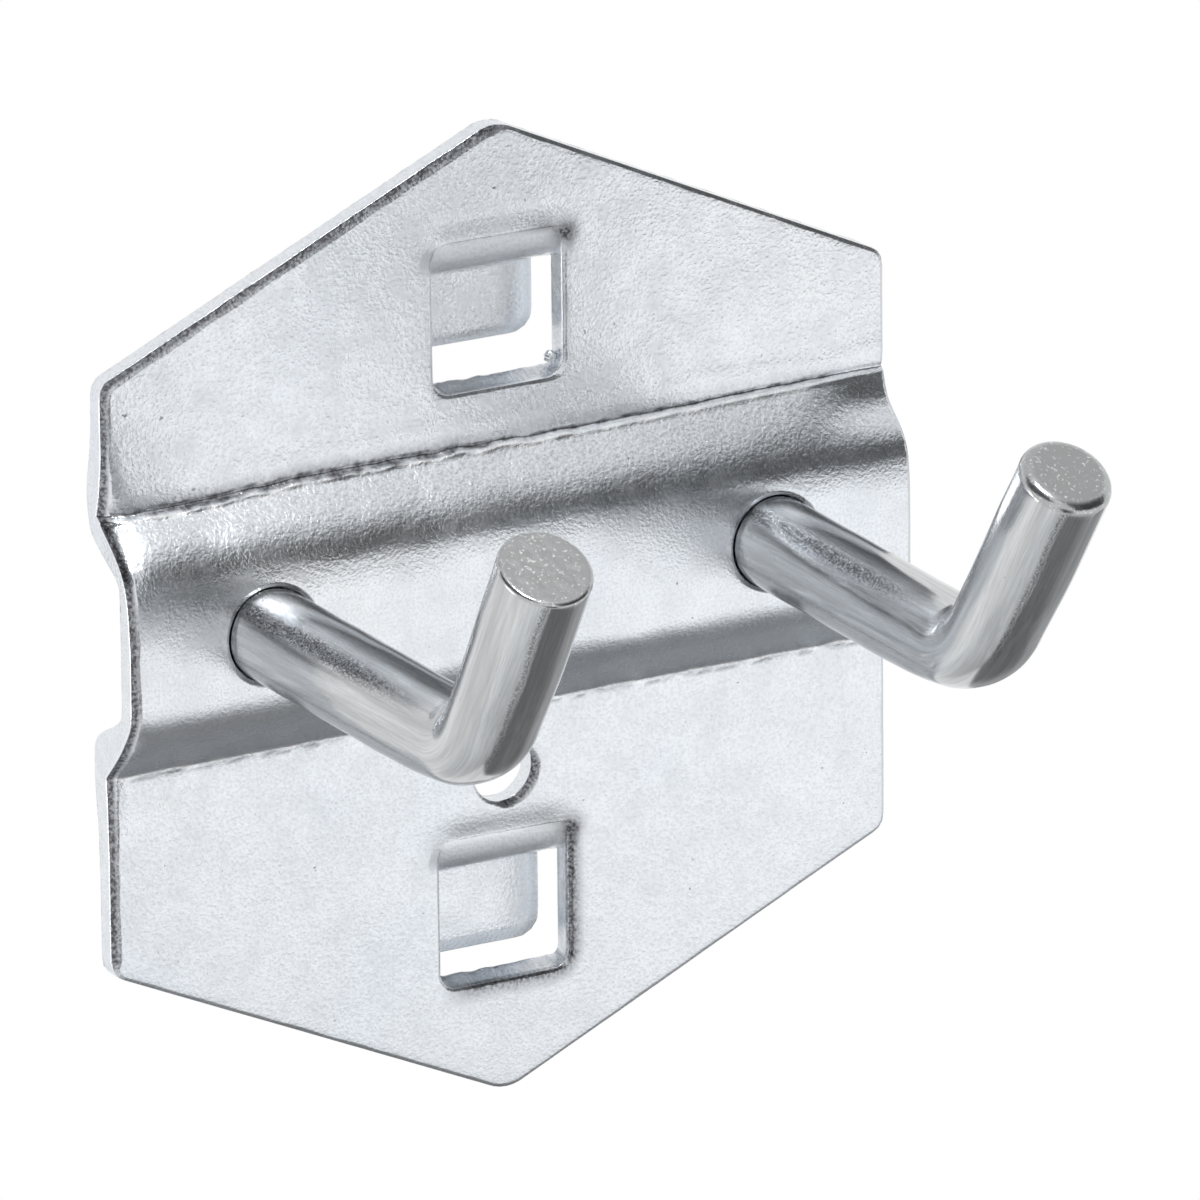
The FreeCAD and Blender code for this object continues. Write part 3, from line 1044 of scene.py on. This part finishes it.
# %% Bright zinc on drawn bar
def peg_finish():
    """Streaks and dark speckles along the bar, a painted highlight near the plate, and a matt pitted end
    with painted glints.
    """
    paint = Paint("peg_zinc")
    straight = paint.mark("straight", "Vector")
    drawn_out = paint.stretched(straight, (1.0, 0.045, 1.0))
    fine = paint.noise(drawn_out, 8.0, 3.0, 0.65)
    streak = paint.noise(drawn_out, 1.3, 3.0, 0.6)
    dust = paint.fit(paint.noise(straight, 8.0, 2.0, 0.6), 0.42, 0.56, 0.15, 1.0)
    pits = paint.fit(paint.noise(straight, 3.2, 3.0, 0.7), 0.71, 0.76, 0.0, 0.7)
    end_glints = paint.fit(paint.noise(straight, 4.5, 2.0, 0.6), 0.60, 0.68, 0.0, 0.8)
    end = paint.mark("end")
    # worn carries the dark speckled lines and, below 0, the painted highlight
    worn = paint.mark("streak")
    tone = paint.mix(paint.fit(streak, 0.38, 0.62, 0.0, 1.0), (0.50, 0.51, 0.52, 1), (0.66, 0.675, 0.69, 1))
    tone = paint.mix(paint.fit(fine, 0.42, 0.66, 0.0, 0.35), tone, (0.36, 0.37, 0.38, 1))
    # painted glints: pale specks on the matt end of the bar
    end_tone = paint.mix(end_glints, (0.41, 0.415, 0.415, 1), (0.90, 0.90, 0.90, 1))
    tone = paint.mix(end, tone, end_tone)
    # painted highlight: the bar turns nearly white where the streak mark is below 0
    tone = paint.mix(paint.fit(worn, -0.9, 0.0, 1.0, 0.0), tone, (0.95, 0.96, 0.97, 1))
    pits = paint.larger(pits, paint.times(worn, dust))
    colour = paint.mix(pits, tone, (0.12, 0.12, 0.13, 1))
    roughness = paint.larger(paint.fit(streak, 0.3, 0.7, 0.11, 0.18), paint.times(end, 0.36))
    normal = paint.bump(fine, 0.004)
    end_pits = paint.noise(straight, 3.0, 3.0, 0.6)
    normal = paint.bump(end_pits, 0.02, paint.fit(end, 0.0, 1.0, 0.12, 1.0), normal)
    normal = paint.bump(pits, -0.015, 1.0, normal)
    return paint.finish(colour, roughness, normal)


peg_zinc = peg_finish()

# %% Dull zinc over a weld
def weld_finish():
    """Uneven grey with fine ripples."""
    paint = Paint("weld")
    place = paint.place()
    tone = paint.mix(paint.noise(place, 900.0, 3.0), (0.42, 0.43, 0.44, 1), (0.62, 0.63, 0.64, 1))
    roughness = paint.fit(paint.noise(place, 700.0), 0.3, 0.7, 0.35, 0.5)
    return paint.finish(tone, roughness, paint.bump(paint.noise(place, 2500.0, 3.0, 0.6), 0.05))


weld = weld_finish()

# %% Pieces in the place of their solids
for piece, node, slot, finish in (
        (plate, "back_plate", "plate_zinc", plate_zinc),
        (bars[0], "left_peg", "peg_zinc", peg_zinc),
        (bars[1], "right_peg", "peg_zinc", peg_zinc),
        (beads[0], "left_weld_bead", "weld", weld),
        (beads[1], "right_weld_bead", "weld", weld)):
    piece.data.materials.append(finish)
    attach(piece, "root")
    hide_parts(node)
    print(piece.name, "takes the place of", node)

drop.data.materials.append(plate_zinc)
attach(drop, "root")

# %% [markdown]
# ## The camera
# The object is seen from its left and a little above, from nearly a metre, which keeps its sides
# almost parallel. Tracking an empty could aim the camera, but would put the object in the middle. The
# camera is placed from two angles and a distance, then moved sideways so that the plate's middle
# lands where it should in the picture.

# %% Camera
def direction(azimuth, elevation):
    """Unit vector towards an azimuth, 0 in front of the object, and an elevation, both in degrees."""
    turn, height = np.radians(azimuth), np.radians(elevation)
    return np.stack([np.sin(turn) * np.cos(height), -np.cos(turn) * np.cos(height), np.sin(height)], -1)


def frame_of(side, top, back, place):
    """Matrix of a thing at a place (m) whose own x, y and z axes point to side, top and back."""
    matrix = np.eye(4)
    matrix[:3] = np.stack([side, top, back, place], 1)
    return Matrix(matrix.tolist())


picture_size = 1200
azimuth, elevation, tilt = -29.44476, 18.28781, math.radians(-0.52739)
distance_away, focal_pixels = 819.97, 13510.167
middle_at = (501.52949, 611.50944)
sensor = 36.0
back = direction(azimuth, elevation)
level = direction(azimuth + 90, 0)
upright = np.cross(back, level)
side = level * math.cos(tilt) + upright * math.sin(tilt)
top = -level * math.sin(tilt) + upright * math.cos(tilt)
per_pixel = distance_away / focal_pixels
stand = back * distance_away - side * (middle_at[0] - picture_size / 2) * per_pixel
stand = stand - top * (picture_size / 2 - middle_at[1]) * per_pixel + np.array([0, front, 0])
camera_data = bpy.data.cameras.new("camera")
camera_data.sensor_width = sensor
camera_data.lens = focal_pixels / picture_size * sensor
camera_data.clip_start = 0.05
camera_data.clip_end = 20
camera = bpy.data.objects.new("camera", camera_data)
bpy.context.scene.collection.objects.link(camera)
camera.matrix_world = frame_of(side, top, back, stand * mm)
bpy.context.scene.camera = camera
print("camera at", (stand * mm).round(3), "m, lens", round(camera_data.lens, 1), "mm")

# %% [markdown]
# ## The light
# Bright metal shows its surroundings, so here the surroundings are the light: a white room with a
# few curved grey cards that only the metal can see. The cards make the dark bands on the rib and the
# bars, as black flags do in a studio, and three small lamps add the highlights. Lamps alone would
# leave the metal flat white or black. A plain floor far below keeps the shadow, and looks as white
# as the room to the camera.

# %% White room
scene = bpy.context.scene
scene.view_settings.view_transform = "Standard"


def mix_white(tree, other, white_kind, target):
    """Mixes plain white, for camera, gloss and transmission rays, with another shader for the rest."""
    ray = tree.nodes.new("ShaderNodeLightPath")
    chosen = ray.outputs["Is Camera Ray"]
    for name in ("Is Glossy Ray", "Is Transmission Ray"):
        either = tree.nodes.new("ShaderNodeMath")
        either.operation = "MAXIMUM"
        tree.links.new(chosen, either.inputs[0])
        tree.links.new(ray.outputs[name], either.inputs[1])
        chosen = either.outputs[0]
    white = tree.nodes.new(white_kind)
    white.inputs[0].default_value = (1, 1, 1, 1)
    white.inputs[1].default_value = 1.0
    mix = tree.nodes.new("ShaderNodeMixShader")
    tree.links.new(chosen, mix.inputs[0])
    tree.links.new(other, mix.inputs[1])
    tree.links.new(white.outputs[0], mix.inputs[2])
    tree.links.new(mix.outputs[0], target)


room_strength = 0.5
world = bpy.data.worlds.new("studio")
scene.world = world
world.use_nodes = True
room = world.node_tree
dim = room.nodes["Background"]
dim.inputs[0].default_value = (1, 1, 1, 1)
dim.inputs[1].default_value = room_strength
mix_white(room, dim.outputs[0], "ShaderNodeBackground", room.nodes["World Output"].inputs["Surface"])
print("white room, as bright as", room_strength, "for soft light")

# %% Grey cards
def card_paint(name):
    """Glow as strong as the card's own grey."""
    material = bpy.data.materials.new(name)
    material.use_nodes = True
    tree = material.node_tree
    tree.nodes.remove(tree.nodes["Principled BSDF"])
    glow = tree.nodes.new("ShaderNodeEmission")
    glow.inputs[0].default_value = (0.98, 0.99, 1.0, 1)
    grey = tree.nodes.new("ShaderNodeAttribute")
    grey.attribute_name = "grey"
    tree.links.new(grey.outputs["Fac"], glow.inputs[1])
    tree.links.new(glow.outputs[0], tree.nodes["Material Output"].inputs["Surface"])
    return material


def card(name, turns, heights, far, greys):
    """Part of a sphere round the object between two azimuths and two elevations, seen by gloss alone.

    Its grey changes with elevation through a list of (elevation, grey)."""
    azimuths, elevations = np.meshgrid(np.linspace(*turns, 25), np.linspace(*heights, 33))
    corners = (direction(azimuths, elevations) * far + np.array([0, -0.015, 0])).reshape(-1, 3)
    mesh = bpy.data.meshes.new(name)
    mesh.from_pydata(corners.tolist(), [], open_grid(azimuths.shape).tolist())
    layer = mesh.attributes.new("grey", "FLOAT", "POINT")
    layer.data.foreach_set("value", np.interp(elevations.ravel(), *zip(*greys)).astype(np.float32))
    mesh.materials.append(card_paint(name))
    thing = bpy.data.objects.new(name, mesh)
    scene.collection.objects.link(thing)
    thing.visible_camera = False
    thing.visible_diffuse = False
    thing.visible_shadow = False
    print(name, "from", turns, "and", heights, "degrees")


card("card_band", (9, 72), (-5, 60), 0.236, [(-5, 0.8), (0.5, 0.08), (33, 0.09), (57, 0.82)])
card("card_low_left", (-20, 4), (-28, -4), 0.236, [(-28, 0.05), (-4, 0.05)])
card("card_above", (-180, 180), (42, 90), 0.24, [(42, 0.80), (90, 0.80)])
card("card_high_left", (-110, -22), (20, 58), 0.232, [(20, 0.12), (58, 0.12)])
card("card_below_right", (-10, 142), (-90, -26), 0.24,
     [(-90, 0.26), (-58, 0.20), (-50, 0.34), (-38, 0.72), (-26, 1.0)])
card("card_below_left", (-180, -45), (-90, -48), 0.24, [(-90, 0.62), (-48, 0.92)])
card("card_below_middle", (-45, -10), (-90, -45), 0.24, [(-90, 0.52), (-45, 0.92)])
card("card_low_side", (80, 142), (-54, -26), 0.232, [(-54, 0.22), (-46, 0.42), (-26, 0.42)])

# %% Floor
floor_reach, floor_level = 4.0, -0.26
signs = ((-1, -1), (1, -1), (1, 1), (-1, 1))
floor_corners = [(across * floor_reach, into * floor_reach, floor_level) for across, into in signs]
floor_mesh = bpy.data.meshes.new("floor")
floor_mesh.from_pydata(floor_corners, [], [(0, 1, 2, 3)])
floor = bpy.data.objects.new("floor", floor_mesh)
scene.collection.objects.link(floor)
floor_paint = bpy.data.materials.new("floor")
floor_paint.use_nodes = True
tree = floor_paint.node_tree
pale = tree.nodes["Principled BSDF"]
pale.inputs["Base Color"].default_value = (0.8, 0.8, 0.8, 1)
mix_white(tree, pale.outputs[0], "ShaderNodeEmission", tree.nodes["Material Output"].inputs["Surface"])
floor_mesh.materials.append(floor_paint)
print("floor at", floor_level, "m")

# %% Lamps
def lamp(name, azimuth, elevation, far, size, power):
    """Square soft lamp of a size (m) and power (W) that faces the object from a direction."""
    data = bpy.data.lights.new(name, "AREA")
    data.size = size
    data.energy = power
    thing = bpy.data.objects.new(name, data)
    out = direction(azimuth, elevation)
    right = direction(azimuth + 90, 0)
    thing.matrix_world = frame_of(right, np.cross(out, right), out, out * far)
    scene.collection.objects.link(thing)
    print(name, power, "W from", (azimuth, elevation), "degrees")


lamp("lamp_top", -12, 62, 0.23, 0.035, 0.17)
lamp("lamp_front", 30, -16, 0.25, 0.18, 0.0105)
lamp("lamp_left", -95, -12, 0.24, 0.08, 0.13)
